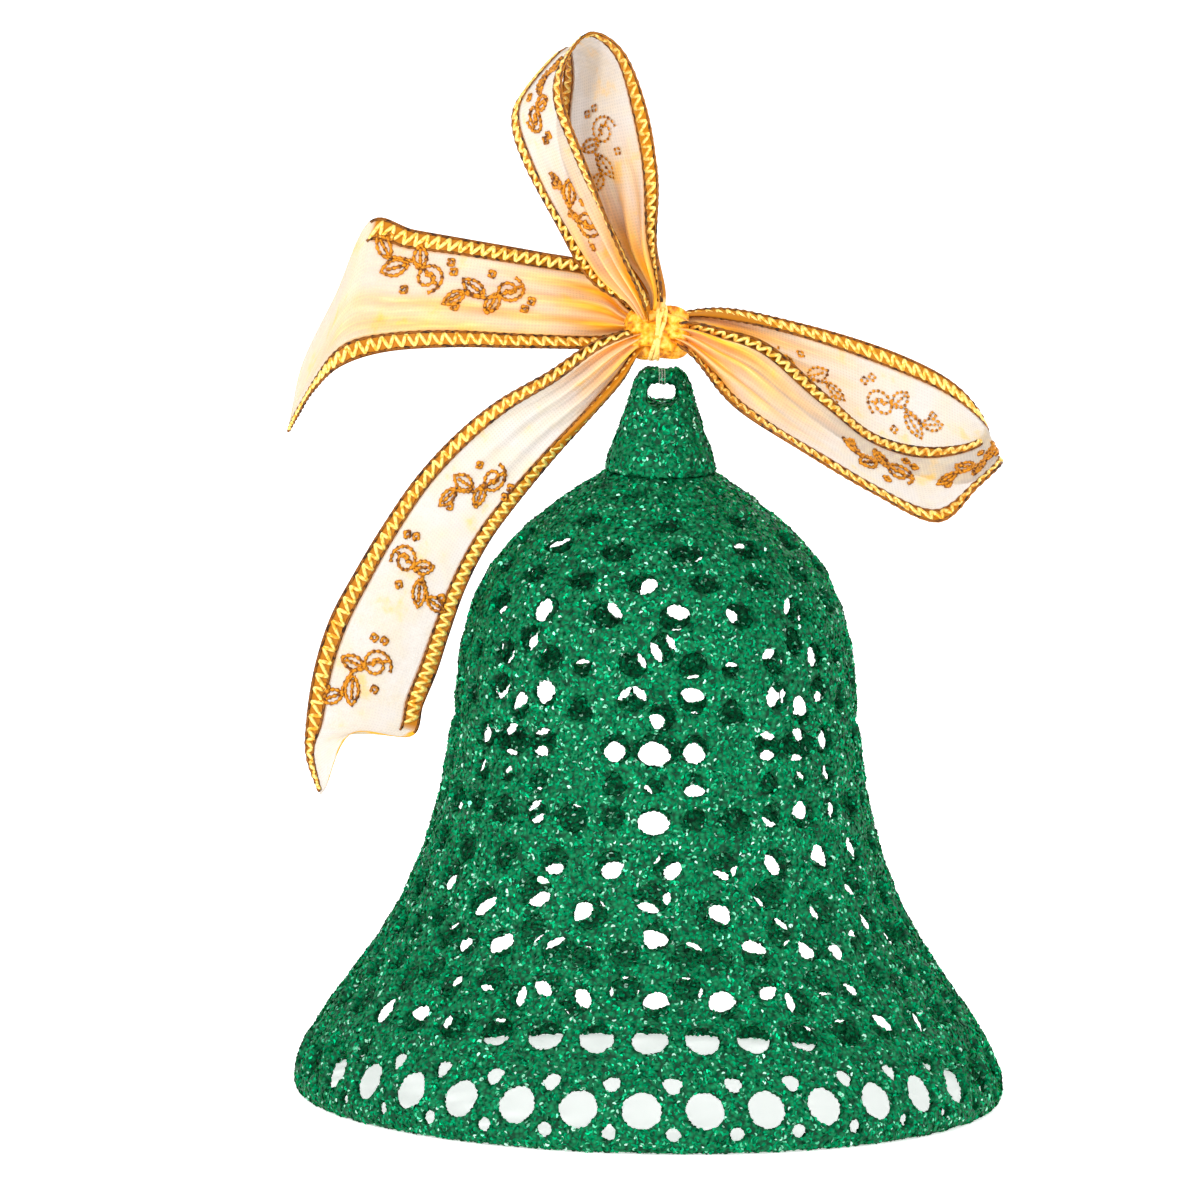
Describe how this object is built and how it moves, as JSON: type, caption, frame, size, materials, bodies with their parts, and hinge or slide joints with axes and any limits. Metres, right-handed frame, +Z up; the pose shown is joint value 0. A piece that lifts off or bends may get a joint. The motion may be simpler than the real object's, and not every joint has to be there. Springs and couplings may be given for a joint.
{
  "type": "openwork bell ornament",
  "caption": "Hanging openwork lace bell with a glitter coat, a plugged-in crown with an eye, and a sheer gold-edged ribbon bow tied through it.",
  "frame": {"origin": "centre of the rim plane, on the bell's axis", "axes": "+Z up the bell's axis from the rim to the crown, -Y towards the front from which the bow is seen, +X towards the side loop"},
  "size_m": [0.1228, 0.12, 0.1803],
  "materials": {
    "glitter_plastic": "glitter flakes glued all over moulded polystyrene",
    "gold_lame": "gathered ribbon with metallic gold thread",
    "sheer_organza": "sheer organza with gold lame selvedges and embroidered sprigs"
  },
  "bodies": {
    "bell": {"rim_band": "glitter_plastic", "skirt_lace": "glitter_plastic", "waist_lace": "glitter_plastic", "shoulder_lace": "glitter_plastic", "dome_plate": "glitter_plastic", "crown": "glitter_plastic"},
    "bow": {"eye_sling": "gold_lame", "knot": "gold_lame"},
    "hanging_loop": {"hanging_loop": "sheer_organza"},
    "side_loop": {"side_loop": "sheer_organza"},
    "upper_tail": {"upper_tail": "sheer_organza"},
    "lower_tail": {"lower_tail": "sheer_organza"}
  },
  "joints": [
    {"name": "bow_swing", "type": "hinge", "parent": "bell", "child": "bow", "pos_m": [0, 0, 0.1223], "axis": [1, 0, 0], "range_deg": [-30, 30]},
    {"name": "hanging_loop_bend", "type": "hinge", "parent": "bow", "child": "hanging_loop", "pos_m": [-0.0015, 0, 0.1305], "axis": [1, 0, 0], "range_deg": [-5, 30]},
    {"name": "side_loop_bend", "type": "hinge", "parent": "bow", "child": "side_loop", "pos_m": [-0.0015, 0, 0.1305], "axis": [0, 0, 1], "range_deg": [-25, 25]},
    {"name": "upper_tail_bend", "type": "hinge", "parent": "bow", "child": "upper_tail", "pos_m": [-0.0015, 0, 0.1305], "axis": [0, 0, 1], "range_deg": [-35, 5]},
    {"name": "lower_tail_bend", "type": "hinge", "parent": "bow", "child": "lower_tail", "pos_m": [-0.0015, 0, 0.1305], "axis": [-0.6508, 0.5007, 0.5707], "range_deg": [0, 30]}
  ]
}
